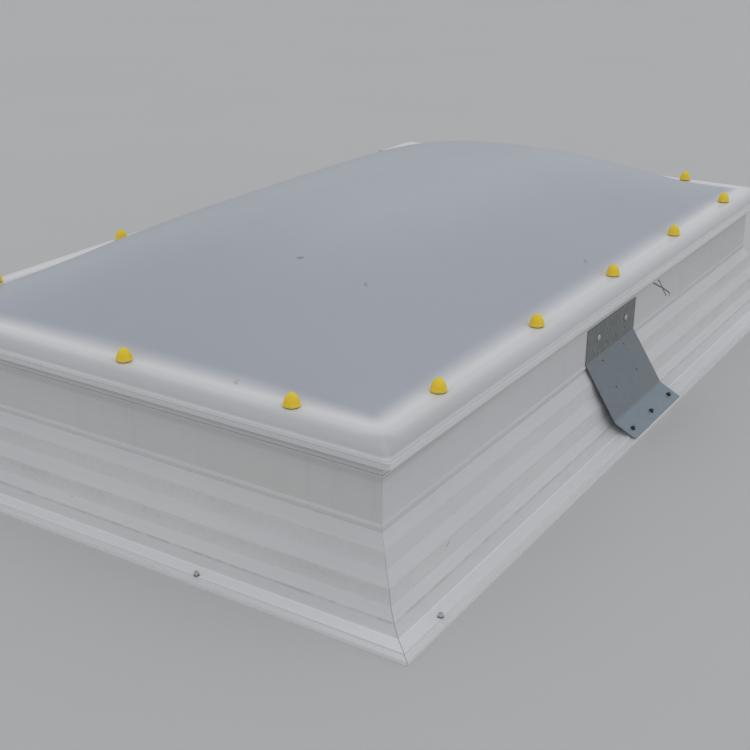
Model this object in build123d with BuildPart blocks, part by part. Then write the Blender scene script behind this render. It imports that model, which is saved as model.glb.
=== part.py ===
from build123d import *
import os
from math import atan2, cos, pi, radians, sin

# Roof skylight: a triple skin pillow dome screwed down on a white upstand of four mitred hollow lengths.
# X runs along the length, Y across, Z up. The origin is the centre of the underside of the base flange.
# In the section of the upstand, "in" is the distance from the flange's outer edge towards the opening.

# Overall sizes
base_length = 2484.0
base_width = 1540.0

# Upstand section: base flange and its foot
edge_height = 8.0
edge_strip = 13.0
flange_height = 11.0
flange_step_run = 3.0
flange_land = 27.0
foot_run = 27.0
foot_rise = 11.0

# Upstand section: sloping skirt of flatter treads and steeper risers
foot_tread = 27.0
foot_tread_angle = 50.0
tread = 33.0
tread_angle = 57.0
riser = 28.5
riser_angle = 72.0
skirt_pairs = 2

# Upstand section: groove, bead and upright wall
groove_depth = 2.0
groove_height = 5.0
bead_bulge = 2.4
wall_in = 144.0
wall_foot = 167.5

# Upstand section: head
band_bottom = 264.0
band_top = 294.0
band_proud = 3.0
drip_groove_bottom = 268.5
drip_groove_height = 2.0
drip_groove_depth = 1.8
head_top = 333.0
shaft_in = 200.0

# Upstand section: walls and webs of the hollow lengths
outer_wall = 2.8
web = 1.8
upright_web_in = 174.0
mid_wall_web = 215.0
screw_web = 306.0

# Dome: edge lip, roll and land
lip_in = 106.0
lip_bottom = 300.5
lip_height = 13.5
lip_corner = 9.0
lip_edge_round = 2.0
roll_in = 113.0
roll_corner = 12.0
roll_radius = 32.0
roll_steps = 8
land_top = 348.5
inner_land_in = 149.0
inner_land_corner = 5.0

# Dome: pillow shape
end_fullness = 4.1
side_fullness = 2.55
outer_pillow_in = 175.0
outer_rise = 158.5
middle_pillow_in = 190.0
middle_rise = 131.0
inner_pillow_in = 205.0
inner_rise = 104.0
pillow_flare = 0.05
outer_skin_thickness = 3.0
thin_skin_thickness = 2.5
grid_steps = 28

# Seals between the skins and below them
seal_thickness = 1.5
seal_start_in = 150.5
seal_width = 21.0
gasket_in = 148.5
gasket_width = 37.0
gasket_bead_width = 5.0
gasket_bead_height = 1.0

# Dome screws and what sits under their heads
screw_in = 157.5
long_first_screw = 369.0
long_count = 5
short_first_screw = 351.5
short_count = 3
shank_diameter = 5.5
clearance = 0.3
dome_screw_grip = 42.0
point_length = 6.0
point_tip_radius = 0.5
head_across_flats = 8.0
head_height = 4.5
head_flange_diameter = 12.5
head_flange_height = 1.5
sleeve_diameter = 9.0
cap_washer_diameter = 30.0
cap_washer_thickness = 2.0
seat_diameter = 33.5
seat_thickness = 2.6
seat_collar_diameter = 26.0
seat_collar_height = 3.5
seat_collar_wall = 2.0

# Snap-on caps
cap_diameter = 33.0
cap_skirt = 2.5
cap_height = 24.0
cap_foot_radius = 15.2
cap_waist_radius = 10.9
cap_waist_height = 11.0
cap_shoulder_radius = 6.6
cap_shoulder_height = 18.6
cap_wall = 1.6
far_row_capped = 2

# Screws of the base flange
flange_screw_in = 18.5
flange_screw_x = 150.0
flange_screw_y = 485.0
flange_screw_head_diameter = 10.5
flange_washer_diameter = 11.5
flange_washer_thickness = 1.6
point_gap = 0.5

# Folded bracket on the long side
bracket_start = 1071.0
bracket_width = 309.0
bracket_sheet = 2.0
bracket_bend = 3.0
bracket_top = 255.5
bracket_upper_fold = 169.5
bracket_lower_fold_in = 55.0
bracket_lower_fold = 38.0
bracket_edge_in = 0.0
bracket_rest_gap = 0.2
wall_screw_pitch = 175.0
wall_screw_level = 220.0
wall_screw_length = 19.0
wall_screw_head_diameter = 16.0
wall_screw_head_height = 3.8
wall_screw_head_round = 2.6
wall_screw_recess_length = 6.0
wall_screw_recess_width = 1.2
wall_screw_recess_depth = 1.8
nail_hole_diameter = 5.0
nail_row_pitch = 60.0
nail_row_count = 4
nail_row_level = 192.0
panel_hole_pitch = 138.0
panel_hole_upper = 17.0
panel_hole_lower = 90.0
foot_screw_pitch = 124.0
foot_screw_count = 3
foot_screw_from_fold = 38.5
foot_washer_diameter = 12.5

half_length = base_length / 2
half_width = base_width / 2

os.makedirs("parts", exist_ok=True)


# Section of the upstand

# The skirt is walked from the foot upwards, tread and riser in turn.
skirt_points = [(edge_strip + flange_step_run + flange_land + foot_run, flange_height + foot_rise)]
skirt_runs = [(foot_tread, foot_tread_angle)]
for pair in range(skirt_pairs):
    skirt_runs += [(riser, riser_angle), (tread, tread_angle)]
for run, angle in skirt_runs:
    last_in, last_up = skirt_points[-1]
    skirt_points.append((last_in + run * cos(radians(angle)), last_up + run * sin(radians(angle))))
skirt_top_in, skirt_top = skirt_points[-1]
crease_levels = [point[1] for point in skirt_points[2:-1:2]]

groove_in = skirt_top_in + groove_depth
groove_top = skirt_top + groove_height
bead_middle = (groove_top + wall_foot) / 2
band_in = wall_in - band_proud


def upstand_envelope():
    """The outer shape of the upstand's section, filled solid."""
    with BuildSketch() as envelope:
        with BuildLine():
            Polyline(
                (shaft_in, head_top),
                (shaft_in, 0),
                (0, 0),
                (0, edge_height),
                (edge_strip, edge_height),
                (edge_strip + flange_step_run, flange_height),
                (edge_strip + flange_step_run + flange_land, flange_height),
                *skirt_points,
                (groove_in, skirt_top),
                (groove_in, groove_top),
            )
            ThreePointArc((groove_in, groove_top), (wall_in - bead_bulge, bead_middle), (wall_in, wall_foot))
            Polyline(
                (wall_in, wall_foot),
                (wall_in, band_bottom),
                (band_in, band_bottom),
                (band_in, drip_groove_bottom),
                (band_in + drip_groove_depth, drip_groove_bottom),
                (band_in + drip_groove_depth, drip_groove_bottom + drip_groove_height),
                (band_in, drip_groove_bottom + drip_groove_height),
                (band_in, band_top),
                (wall_in, band_top),
                (wall_in, head_top),
                (shaft_in, head_top),
            )
        make_face()
    return envelope.sketch_local


def upstand_core():
    """The hollow inside the upstand's outer walls, still without webs."""
    inner_shaft = shaft_in - outer_wall
    inner_wall = wall_in + outer_wall
    shift = outer_wall / sin(radians(riser_angle))
    with BuildSketch() as core:
        with BuildLine():
            Polyline(
                (inner_shaft, outer_wall),
                (edge_strip + flange_step_run, outer_wall),
                (edge_strip + flange_step_run, flange_height - outer_wall),
                (edge_strip + flange_step_run + flange_land, flange_height - outer_wall),
                *[(inward + shift, up) for inward, up in skirt_points],
                (inner_wall, groove_top),
                (inner_wall, head_top - outer_wall),
                (inner_shaft, head_top - outer_wall),
                close=True,
            )
        make_face()
    return core.sketch_local


def upstand_webs():
    """The thin webs that split the hollow into chambers."""
    levels = [*crease_levels, bead_middle, mid_wall_web, band_bottom + web, screw_web]
    middle = (shaft_in + web) / 2
    with BuildSketch() as webs:
        with Locations(*[(middle, level) for level in levels]):
            Rectangle(shaft_in, web)
        with Locations((upright_web_in, (band_bottom + head_top) / 2)):
            Rectangle(web, head_top - band_bottom)
        add(upstand_core(), mode=Mode.INTERSECT)
    return webs.sketch_local


def upstand_section():
    """The hollow section with its walls and webs."""
    with BuildSketch() as section:
        add(upstand_envelope())
        add(upstand_core(), mode=Mode.SUBTRACT)
        add(upstand_webs())
    return section.sketch_local


# Section planes: local x points in from the flange edge, local y points up.
front_plane = Plane(origin=(0, -half_width, 0), x_dir=(0, 1, 0), z_dir=(1, 0, 0))
left_plane = Plane(origin=(-half_length, 0, 0), x_dir=(1, 0, 0), z_dir=(0, -1, 0))

# Mitre planes stand on the corners and run diagonally inwards.
near_left_mitre = Plane(origin=(-half_length, -half_width, 0), x_dir=(1, 1, 0), z_dir=(1, -1, 0))
near_right_mitre = Plane(origin=(half_length, -half_width, 0), x_dir=(-1, 1, 0), z_dir=(-1, -1, 0))
far_left_mitre = Plane(origin=(-half_length, half_width, 0), x_dir=(1, -1, 0), z_dir=(1, 1, 0))

# Where the dome's screws stand: evenly spaced between the first ones from each corner.
long_pitch = (base_length - 2 * long_first_screw) / (long_count - 1)
short_pitch = (base_width - 2 * short_first_screw) / (short_count - 1)
long_row = base_width - 2 * screw_in
short_row = base_length - 2 * screw_in
dome_screw_spots = [
    *GridLocations(long_pitch, long_row, long_count, 2),
    *GridLocations(short_row, short_pitch, 2, short_count),
]

# The far row has lost the caps past its first ones. Each near spot is listed before the far one.
far_row = dome_screw_spots[1 : 2 * long_count : 2]
capped_spots = [spot for spot in dome_screw_spots if spot not in far_row[far_row_capped:]]


def raised(spots, level):
    """The same spots lifted to a level."""
    return [(spot.position.X, spot.position.Y, level) for spot in spots]


# Where the base flange is screwed down
flange_row = half_width - flange_screw_in
flange_column = half_length - flange_screw_in
end_x = half_length - flange_screw_x
end_y = half_width - flange_screw_y
front_flange_spots = [(-end_x, -flange_row), (end_x, -flange_row)]
back_flange_spots = [(-end_x, flange_row), (0, flange_row), (end_x, flange_row)]
left_flange_spots = [(-flange_column, -end_y), (-flange_column, end_y)]
right_flange_spots = [(flange_column, -end_y), (flange_column, end_y)]
flange_spots = [*front_flange_spots, *back_flange_spots, *left_flange_spots, *right_flange_spots]

hole_radius = shank_diameter / 2 + clearance
sleeve_hole_radius = sleeve_diameter / 2 + clearance

# The bracket's tab lies on the wall, its panel leans out, and its foot falls to the flange's edge strip.
bracket_middle = bracket_start + bracket_width / 2 - half_length
bracket_tab_in = wall_in - bracket_sheet
bracket_edge = edge_height + bracket_sheet + bracket_rest_gap
foot_angle = atan2(bracket_lower_fold - bracket_edge, bracket_lower_fold_in - bracket_edge_in)
panel_angle = atan2(bracket_upper_fold - bracket_lower_fold, bracket_tab_in - bracket_lower_fold_in)
bracket_side_plane = Plane(
    origin=(bracket_start - half_length, -half_width, 0),
    x_dir=(0, 1, 0),
    z_dir=(1, 0, 0),
)
tab_plane = Plane(
    origin=(bracket_middle, bracket_tab_in - half_width, wall_screw_level),
    x_dir=(1, 0, 0),
    z_dir=(0, -1, 0),
)
panel_plane = Plane(
    origin=(bracket_middle, bracket_tab_in - half_width, bracket_upper_fold),
    x_dir=(1, 0, 0),
    z_dir=(0, -sin(panel_angle), cos(panel_angle)),
)
foot_plane = Plane(
    origin=(bracket_middle, bracket_lower_fold_in - half_width, bracket_lower_fold),
    x_dir=(1, 0, 0),
    z_dir=(0, -sin(foot_angle), cos(foot_angle)),
)
foot_screw_level = bracket_lower_fold - foot_screw_from_fold * sin(foot_angle)
foot_screw_reach = foot_screw_level / cos(foot_angle)


with BuildPart() as long_upstand:
    with BuildSketch(front_plane):
        add(upstand_section())
    extrude(amount=half_length, both=True)
    split(bisect_by=near_left_mitre, keep=Keep.TOP)
    split(bisect_by=near_right_mitre, keep=Keep.TOP)
    with Locations(*raised(GridLocations(long_pitch, long_row, long_count, 2), head_top)):
        Hole(radius=hole_radius, depth=head_top - screw_web + 2 * web)

with BuildPart() as upstand_front:
    add(long_upstand.part)
    with Locations(*[(x, y, flange_height) for x, y in front_flange_spots]):
        Hole(radius=hole_radius, depth=flange_height)
    with BuildSketch(tab_plane):
        with GridLocations(wall_screw_pitch, 0, 2, 1):
            Circle(hole_radius)
    extrude(amount=-2 * (bracket_sheet + outer_wall), mode=Mode.SUBTRACT)
    with BuildSketch(foot_plane):
        with Locations((0, -foot_screw_from_fold)):
            with GridLocations(foot_screw_pitch, 0, foot_screw_count, 1):
                Circle(hole_radius)
    extrude(amount=-(foot_screw_reach + shank_diameter), mode=Mode.SUBTRACT)

with BuildPart() as upstand_back:
    mirror(long_upstand.part, about=Plane.XZ)
    with Locations(*[(x, y, flange_height) for x, y in back_flange_spots]):
        Hole(radius=hole_radius, depth=flange_height)

with BuildPart() as upstand_left:
    with BuildSketch(left_plane):
        add(upstand_section())
    extrude(amount=half_width, both=True)
    split(bisect_by=near_left_mitre, keep=Keep.BOTTOM)
    split(bisect_by=far_left_mitre, keep=Keep.BOTTOM)
    with Locations(*raised(GridLocations(short_row, short_pitch, 2, short_count), head_top)):
        Hole(radius=hole_radius, depth=head_top - screw_web + 2 * web)
    with Locations(*[(x, y, flange_height) for x, y in left_flange_spots]):
        Hole(radius=hole_radius, depth=flange_height)

with BuildPart() as upstand_right:
    mirror(upstand_left.part, about=Plane.YZ)


# Dome skins

land_underside = land_top - outer_skin_thickness
middle_land_top = land_underside - seal_thickness
middle_land_underside = middle_land_top - thin_skin_thickness
inner_land_top = middle_land_underside - seal_thickness
inner_land_underside = inner_land_top - thin_skin_thickness
lip_top = lip_bottom + lip_height


def pillow_swell(along, across):
    """Share of the full rise at a point given by its shares of the half sizes."""
    swell = (1 - abs(along) ** end_fullness) * (1 - abs(across) ** side_fullness)
    return swell * swell / (swell + pillow_flare) * (1 + pillow_flare)


def pillow_face(inset, level, rise):
    """A pillow surface that leaves its rectangle level and swells towards the middle."""
    half_x = half_length - inset
    half_y = half_width - inset
    # The points stand closer together near the edges, where the surface turns.
    shares = [sin(pi / 2 * (2 * step / grid_steps - 1)) for step in range(grid_steps + 1)]
    rows = [
        [(half_x * along, half_y * across, level + rise * pillow_swell(along, across)) for along in shares]
        for across in shares
    ]
    return Face.make_surface_from_array_of_points(rows)


def edge_roll(within):
    """The block under the edge's quarter-round roll, drawn a distance within the roll's outer surface."""
    bend = roll_radius - within
    start_level = land_top - roll_radius
    with BuildPart() as block:
        with BuildSketch(Plane.XY.offset(lip_top - within)):
            RectangleRounded(
                base_length - 2 * (roll_in + within),
                base_width - 2 * (roll_in + within),
                roll_corner - within,
            )
        extrude(amount=start_level - lip_top + within)
        # The roll is drawn through outlines that climb the quarter round in even turns.
        for step in range(roll_steps + 1):
            turn = pi / 2 * step / roll_steps
            inset = roll_in + within + bend * (1 - cos(turn))
            with BuildSketch(Plane.XY.offset(start_level + bend * sin(turn))):
                RectangleRounded(base_length - 2 * inset, base_width - 2 * inset, roll_corner - within)
        loft()
    return block.part


with BuildPart() as dome_outside:
    with BuildSketch(Plane.XY.offset(lip_bottom)):
        RectangleRounded(base_length - 2 * lip_in, base_width - 2 * lip_in, lip_corner)
    extrude(amount=lip_height)
    fillet(dome_outside.faces().sort_by(Axis.Z)[-1].edges(), radius=lip_edge_round)
    add(edge_roll(0))

with BuildPart() as dome_inside:
    with BuildSketch(Plane.XY.offset(lip_bottom)):
        RectangleRounded(
            base_length - 2 * (lip_in + outer_skin_thickness),
            base_width - 2 * (lip_in + outer_skin_thickness),
            lip_corner - outer_skin_thickness,
        )
    extrude(amount=lip_height - outer_skin_thickness)
    add(edge_roll(outer_skin_thickness))

with BuildPart() as outer_skin:
    add(dome_outside.part)
    add(dome_inside.part, mode=Mode.SUBTRACT)
    with BuildSketch(Plane.XY.offset(land_underside)):
        Rectangle(base_length - 2 * outer_pillow_in, base_width - 2 * outer_pillow_in)
    extrude(amount=outer_skin_thickness, mode=Mode.SUBTRACT)
    extrude(pillow_face(outer_pillow_in, land_top, outer_rise), amount=-outer_skin_thickness, dir=(0, 0, 1))
    with Locations(*raised(dome_screw_spots, land_top)):
        Hole(radius=sleeve_hole_radius, depth=outer_skin_thickness)

with BuildPart() as middle_skin:
    with BuildSketch(Plane.XY.offset(middle_land_underside)):
        RectangleRounded(base_length - 2 * inner_land_in, base_width - 2 * inner_land_in, inner_land_corner)
        Rectangle(
            base_length - 2 * middle_pillow_in,
            base_width - 2 * middle_pillow_in,
            mode=Mode.SUBTRACT,
        )
    extrude(amount=thin_skin_thickness)
    extrude(
        pillow_face(middle_pillow_in, middle_land_top, middle_rise),
        amount=-thin_skin_thickness,
        dir=(0, 0, 1),
    )
    with Locations(*raised(dome_screw_spots, middle_land_top)):
        Hole(radius=sleeve_hole_radius, depth=thin_skin_thickness)

with BuildPart() as inner_skin:
    with BuildSketch(Plane.XY.offset(inner_land_underside)):
        RectangleRounded(base_length - 2 * inner_land_in, base_width - 2 * inner_land_in, inner_land_corner)
        Rectangle(
            base_length - 2 * inner_pillow_in,
            base_width - 2 * inner_pillow_in,
            mode=Mode.SUBTRACT,
        )
    extrude(amount=thin_skin_thickness)
    extrude(
        pillow_face(inner_pillow_in, inner_land_top, inner_rise),
        amount=-thin_skin_thickness,
        dir=(0, 0, 1),
    )
    with Locations(*raised(dome_screw_spots, inner_land_top)):
        Hole(radius=sleeve_hole_radius, depth=thin_skin_thickness)


# Seals

with BuildPart() as upper_skin_seal:
    with BuildSketch(Plane.XY.offset(middle_land_top)):
        Rectangle(base_length - 2 * seal_start_in, base_width - 2 * seal_start_in)
        Rectangle(
            base_length - 2 * (seal_start_in + seal_width),
            base_width - 2 * (seal_start_in + seal_width),
            mode=Mode.SUBTRACT,
        )
    extrude(amount=seal_thickness)
    with Locations(*raised(dome_screw_spots, land_underside)):
        Hole(radius=sleeve_hole_radius, depth=seal_thickness)

with BuildPart() as lower_skin_seal:
    with BuildSketch(Plane.XY.offset(inner_land_top)):
        Rectangle(base_length - 2 * seal_start_in, base_width - 2 * seal_start_in)
        Rectangle(
            base_length - 2 * (seal_start_in + seal_width),
            base_width - 2 * (seal_start_in + seal_width),
            mode=Mode.SUBTRACT,
        )
    extrude(amount=seal_thickness)
    with Locations(*raised(dome_screw_spots, middle_land_underside)):
        Hole(radius=sleeve_hole_radius, depth=seal_thickness)

gasket_end_in = gasket_in + gasket_width
with BuildPart() as head_gasket:
    with BuildSketch(Plane.XY.offset(head_top)):
        Rectangle(base_length - 2 * gasket_in, base_width - 2 * gasket_in)
        Rectangle(base_length - 2 * gasket_end_in, base_width - 2 * gasket_end_in, mode=Mode.SUBTRACT)
    extrude(amount=inner_land_underside - head_top - gasket_bead_height)
    with BuildSketch(Plane.XY.offset(inner_land_underside - gasket_bead_height)):
        for start in (gasket_in, gasket_end_in - gasket_bead_width):
            end = start + gasket_bead_width
            Rectangle(base_length - 2 * start, base_width - 2 * start)
            Rectangle(base_length - 2 * end, base_width - 2 * end, mode=Mode.SUBTRACT)
    extrude(amount=gasket_bead_height)
    with Locations(*raised(dome_screw_spots, inner_land_underside)):
        Hole(radius=sleeve_hole_radius, depth=inner_land_underside - head_top)


# Dome screws, their sleeves, washers, seats and caps

cap_washer_top = land_top + cap_washer_thickness
seat_top = cap_washer_top + seat_thickness

with BuildPart() as screw_sleeves:
    with BuildSketch(Plane.XY.offset(head_top)):
        with Locations(*dome_screw_spots):
            Circle(sleeve_diameter / 2)
            Circle(hole_radius, mode=Mode.SUBTRACT)
    extrude(amount=cap_washer_top - head_top)

with BuildPart() as cap_washers:
    with BuildSketch(Plane.XY.offset(land_top)):
        with Locations(*dome_screw_spots):
            Circle(cap_washer_diameter / 2)
            Circle(sleeve_hole_radius, mode=Mode.SUBTRACT)
    extrude(amount=cap_washer_thickness)

with BuildPart() as cap_seats:
    with BuildSketch(Plane.XY.offset(cap_washer_top)):
        with Locations(*dome_screw_spots):
            Circle(seat_diameter / 2)
            Circle(hole_radius, mode=Mode.SUBTRACT)
    extrude(amount=seat_thickness)
    with BuildSketch(Plane.XY.offset(seat_top)):
        with Locations(*dome_screw_spots):
            Circle(seat_collar_diameter / 2)
            Circle(seat_collar_diameter / 2 - seat_collar_wall, mode=Mode.SUBTRACT)
    extrude(amount=seat_collar_height)

with BuildPart() as dome_screws:
    with BuildSketch(Plane.XY.offset(seat_top)):
        with Locations(*dome_screw_spots):
            Circle(head_flange_diameter / 2)
    extrude(amount=head_flange_height)
    with BuildSketch(Plane.XY.offset(seat_top + head_flange_height)):
        with Locations(*dome_screw_spots):
            RegularPolygon(radius=head_across_flats / 2, side_count=6, major_radius=False)
    extrude(amount=head_height)
    with BuildSketch(Plane.XY.offset(seat_top)):
        with Locations(*dome_screw_spots):
            Circle(shank_diameter / 2)
    extrude(amount=-(seat_top - head_top + dome_screw_grip - point_length))
    point_level = head_top - dome_screw_grip
    with Locations(*raised(dome_screw_spots, point_level + point_length / 2)):
        Cone(bottom_radius=point_tip_radius, top_radius=shank_diameter / 2, height=point_length)


def cap_half_section(inset):
    """Half of the cone-shaped cap from its axis out, drawn an inset within its outer surface."""
    with BuildSketch(Plane.XZ) as half:
        with BuildLine():
            Polyline(
                (0, cap_height - inset),
                (0, 0),
                (cap_diameter / 2 - inset, 0),
                (cap_diameter / 2 - inset, cap_skirt - inset / 2),
                (cap_foot_radius - inset, cap_skirt),
            )
            Spline(
                (cap_foot_radius - inset, cap_skirt),
                (cap_waist_radius - inset, cap_waist_height),
                (cap_shoulder_radius - inset / 2, cap_shoulder_height - inset),
                (0, cap_height - inset),
                tangents=((-0.4, 1), (-1, 0)),
            )
        make_face()
    return half.sketch


with BuildPart() as cap:
    add(cap_half_section(0))
    revolve(axis=Axis.Z)
    add(cap_half_section(cap_wall))
    revolve(axis=Axis.Z, mode=Mode.SUBTRACT)

with BuildPart() as screw_caps:
    with Locations(*raised(capped_spots, seat_top)):
        add(cap.part)


# Screws and washers of the base flange

flange_washer_top = flange_height + flange_washer_thickness

with BuildPart() as flange_washers:
    with BuildSketch(Plane.XY.offset(flange_height)):
        with Locations(*flange_spots):
            Circle(flange_washer_diameter / 2)
            Circle(hole_radius, mode=Mode.SUBTRACT)
    extrude(amount=flange_washer_thickness)

with BuildPart() as flange_screws:
    with BuildSketch(Plane.XY.offset(flange_washer_top)):
        with Locations(*flange_spots):
            Circle(flange_screw_head_diameter / 2)
    extrude(amount=head_flange_height)
    with BuildSketch(Plane.XY.offset(flange_washer_top + head_flange_height)):
        with Locations(*flange_spots):
            RegularPolygon(radius=head_across_flats / 2, side_count=6, major_radius=False)
    extrude(amount=head_height)
    with BuildSketch(Plane.XY.offset(flange_washer_top)):
        with Locations(*flange_spots):
            Circle(shank_diameter / 2)
    extrude(amount=-(flange_washer_top - point_gap))


# Bracket and its screws

with BuildPart() as bracket:
    with BuildSketch(bracket_side_plane):
        with BuildLine() as bracket_line:
            Polyline(
                (bracket_tab_in, bracket_top),
                (bracket_tab_in, bracket_upper_fold),
                (bracket_lower_fold_in, bracket_lower_fold),
                (bracket_edge_in, bracket_edge),
            )
            fillet(bracket_line.vertices().sort_by(Axis.Y)[1:3], radius=bracket_bend)
            offset(amount=bracket_sheet, side=Side.LEFT)
        make_face()
    extrude(amount=bracket_width)
    with BuildSketch(tab_plane):
        with GridLocations(wall_screw_pitch, 0, 2, 1):
            Circle(hole_radius)
        with Locations((0, nail_row_level - wall_screw_level)):
            with GridLocations(nail_row_pitch, 0, nail_row_count, 1):
                Circle(nail_hole_diameter / 2)
    extrude(amount=-bracket_sheet, mode=Mode.SUBTRACT)
    with BuildSketch(panel_plane):
        with Locations((0, -panel_hole_upper), (0, -panel_hole_lower)):
            with GridLocations(panel_hole_pitch, 0, 2, 1):
                Circle(nail_hole_diameter / 2)
    extrude(amount=-bracket_sheet, mode=Mode.SUBTRACT)
    with BuildSketch(foot_plane):
        with Locations((0, -foot_screw_from_fold)):
            with GridLocations(foot_screw_pitch, 0, foot_screw_count, 1):
                Circle(hole_radius)
    extrude(amount=-bracket_sheet, mode=Mode.SUBTRACT)

with BuildPart() as bracket_wall_screws:
    with BuildSketch(tab_plane):
        with GridLocations(wall_screw_pitch, 0, 2, 1):
            Circle(wall_screw_head_diameter / 2)
    extrude(amount=wall_screw_head_height)
    fillet(bracket_wall_screws.faces().sort_by(Axis.Y)[:2].edges(), radius=wall_screw_head_round)
    with BuildSketch(tab_plane):
        with GridLocations(wall_screw_pitch, 0, 2, 1):
            Circle(shank_diameter / 2)
    extrude(amount=-wall_screw_length)
    with BuildSketch(tab_plane.offset(wall_screw_head_height)):
        with GridLocations(wall_screw_pitch, 0, 2, 1):
            Rectangle(wall_screw_recess_length, wall_screw_recess_width)
            Rectangle(wall_screw_recess_width, wall_screw_recess_length)
    extrude(amount=-wall_screw_recess_depth, mode=Mode.SUBTRACT)

with BuildPart() as bracket_foot_washers:
    with BuildSketch(foot_plane):
        with Locations((0, -foot_screw_from_fold)):
            with GridLocations(foot_screw_pitch, 0, foot_screw_count, 1):
                Circle(foot_washer_diameter / 2)
                Circle(hole_radius, mode=Mode.SUBTRACT)
    extrude(amount=flange_washer_thickness)

with BuildPart() as bracket_foot_screws:
    with BuildSketch(foot_plane.offset(flange_washer_thickness)):
        with Locations((0, -foot_screw_from_fold)):
            with GridLocations(foot_screw_pitch, 0, foot_screw_count, 1):
                RegularPolygon(radius=head_across_flats / 2, side_count=6, major_radius=False)
    extrude(amount=head_height)
    with BuildSketch(foot_plane.offset(flange_washer_thickness)):
        with Locations((0, -foot_screw_from_fold)):
            with GridLocations(foot_screw_pitch, 0, foot_screw_count, 1):
                Circle(shank_diameter / 2)
    extrude(amount=-(foot_screw_reach - shank_diameter / 2 + flange_washer_thickness))


# Each piece under its own name

upstand_front.part.label = "upstand_front"
export_step(upstand_front.part, "parts/upstand_front.step")
upstand_back.part.label = "upstand_back"
export_step(upstand_back.part, "parts/upstand_back.step")
upstand_left.part.label = "upstand_left"
export_step(upstand_left.part, "parts/upstand_left.step")
upstand_right.part.label = "upstand_right"
export_step(upstand_right.part, "parts/upstand_right.step")
outer_skin.part.label = "outer_skin"
export_step(outer_skin.part, "parts/outer_skin.step")
middle_skin.part.label = "middle_skin"
export_step(middle_skin.part, "parts/middle_skin.step")
inner_skin.part.label = "inner_skin"
export_step(inner_skin.part, "parts/inner_skin.step")
upper_skin_seal.part.label = "upper_skin_seal"
export_step(upper_skin_seal.part, "parts/upper_skin_seal.step")
lower_skin_seal.part.label = "lower_skin_seal"
export_step(lower_skin_seal.part, "parts/lower_skin_seal.step")
head_gasket.part.label = "head_gasket"
export_step(head_gasket.part, "parts/head_gasket.step")
screw_sleeves.part.label = "screw_sleeves"
export_step(screw_sleeves.part, "parts/screw_sleeves.step")
cap_washers.part.label = "cap_washers"
export_step(cap_washers.part, "parts/cap_washers.step")
cap_seats.part.label = "cap_seats"
export_step(cap_seats.part, "parts/cap_seats.step")
dome_screws.part.label = "dome_screws"
export_step(dome_screws.part, "parts/dome_screws.step")
screw_caps.part.label = "screw_caps"
export_step(screw_caps.part, "parts/screw_caps.step")
flange_washers.part.label = "flange_washers"
export_step(flange_washers.part, "parts/flange_washers.step")
flange_screws.part.label = "flange_screws"
export_step(flange_screws.part, "parts/flange_screws.step")
bracket.part.label = "bracket"
export_step(bracket.part, "parts/bracket.step")
bracket_wall_screws.part.label = "bracket_wall_screws"
export_step(bracket_wall_screws.part, "parts/bracket_wall_screws.step")
bracket_foot_washers.part.label = "bracket_foot_washers"
export_step(bracket_foot_washers.part, "parts/bracket_foot_washers.step")
bracket_foot_screws.part.label = "bracket_foot_screws"
export_step(bracket_foot_screws.part, "parts/bracket_foot_screws.step")
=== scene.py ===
from math import cos, pi, radians, sin

import bpy
from mathutils import Matrix, Vector


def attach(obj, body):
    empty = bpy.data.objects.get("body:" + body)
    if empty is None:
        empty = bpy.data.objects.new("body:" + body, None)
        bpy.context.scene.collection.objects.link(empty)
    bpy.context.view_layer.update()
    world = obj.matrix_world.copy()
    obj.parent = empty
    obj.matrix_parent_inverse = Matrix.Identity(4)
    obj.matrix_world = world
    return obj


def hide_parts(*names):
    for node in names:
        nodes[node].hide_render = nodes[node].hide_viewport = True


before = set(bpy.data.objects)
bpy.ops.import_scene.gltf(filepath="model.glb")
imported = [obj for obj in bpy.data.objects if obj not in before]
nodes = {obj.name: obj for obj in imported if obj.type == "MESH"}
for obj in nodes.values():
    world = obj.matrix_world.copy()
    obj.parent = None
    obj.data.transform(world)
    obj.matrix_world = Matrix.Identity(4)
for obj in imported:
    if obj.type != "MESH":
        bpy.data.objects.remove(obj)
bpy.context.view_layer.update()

# Sizes of the skylight that the finishes and the rebuilt pieces follow, in metres.
half_length = 1.242
half_width = 0.770
shaft_in = 0.200
shaft_corner = 0.012
skirt_foot = 0.022
crease_levels = (0.0427, 0.0698, 0.0975, 0.1246)
steep_bands = (crease_levels[:2], crease_levels[2:])
groove_level = 0.1548
bead_top = 0.1675
band_bottom = 0.264
lip_bottom = 0.3005
lip_top = 0.314
cap_level = 0.3531
screw_in = 0.1575
long_first_screw = 0.369
long_count = 5
short_first_screw = 0.3515
short_count = 3
far_row_capped = 2
cap_radius = 0.0165
cap_height = 0.024
cap_sides = 49
seam_merge = 0.00002
upper_fold = 0.1695
lower_fold = 0.038

# Heights between which the flange's strip, its step and its land end.
strip_end = (0.0081, 0.0086)
step_end = (0.0104, 0.0108)
land_end = (0.0113, 0.0128)

# Two pen strokes on the wall beside the bracket and a scuff on the skirt: places along and up.
long_pen_stroke = (
    (0.268, 0.257),
    (0.293, 0.247),
    (0.319, 0.234),
    (0.339, 0.227),
    (0.369, 0.211),
    (0.396, 0.198),
    (0.411, 0.1885),
    (0.4115, 0.182),
)
short_pen_stroke = (
    (0.304, 0.256),
    (0.321, 0.246),
    (0.335, 0.231),
    (0.355, 0.214),
    (0.372, 0.199),
    (0.383, 0.190),
)
skirt_scuff = ((-0.926, 0.0660), (-0.929, 0.0635), (-0.936, 0.0610), (-0.941, 0.0605))
pen_half_width = 0.0026
scuff_half_width = 0.0014

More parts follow.
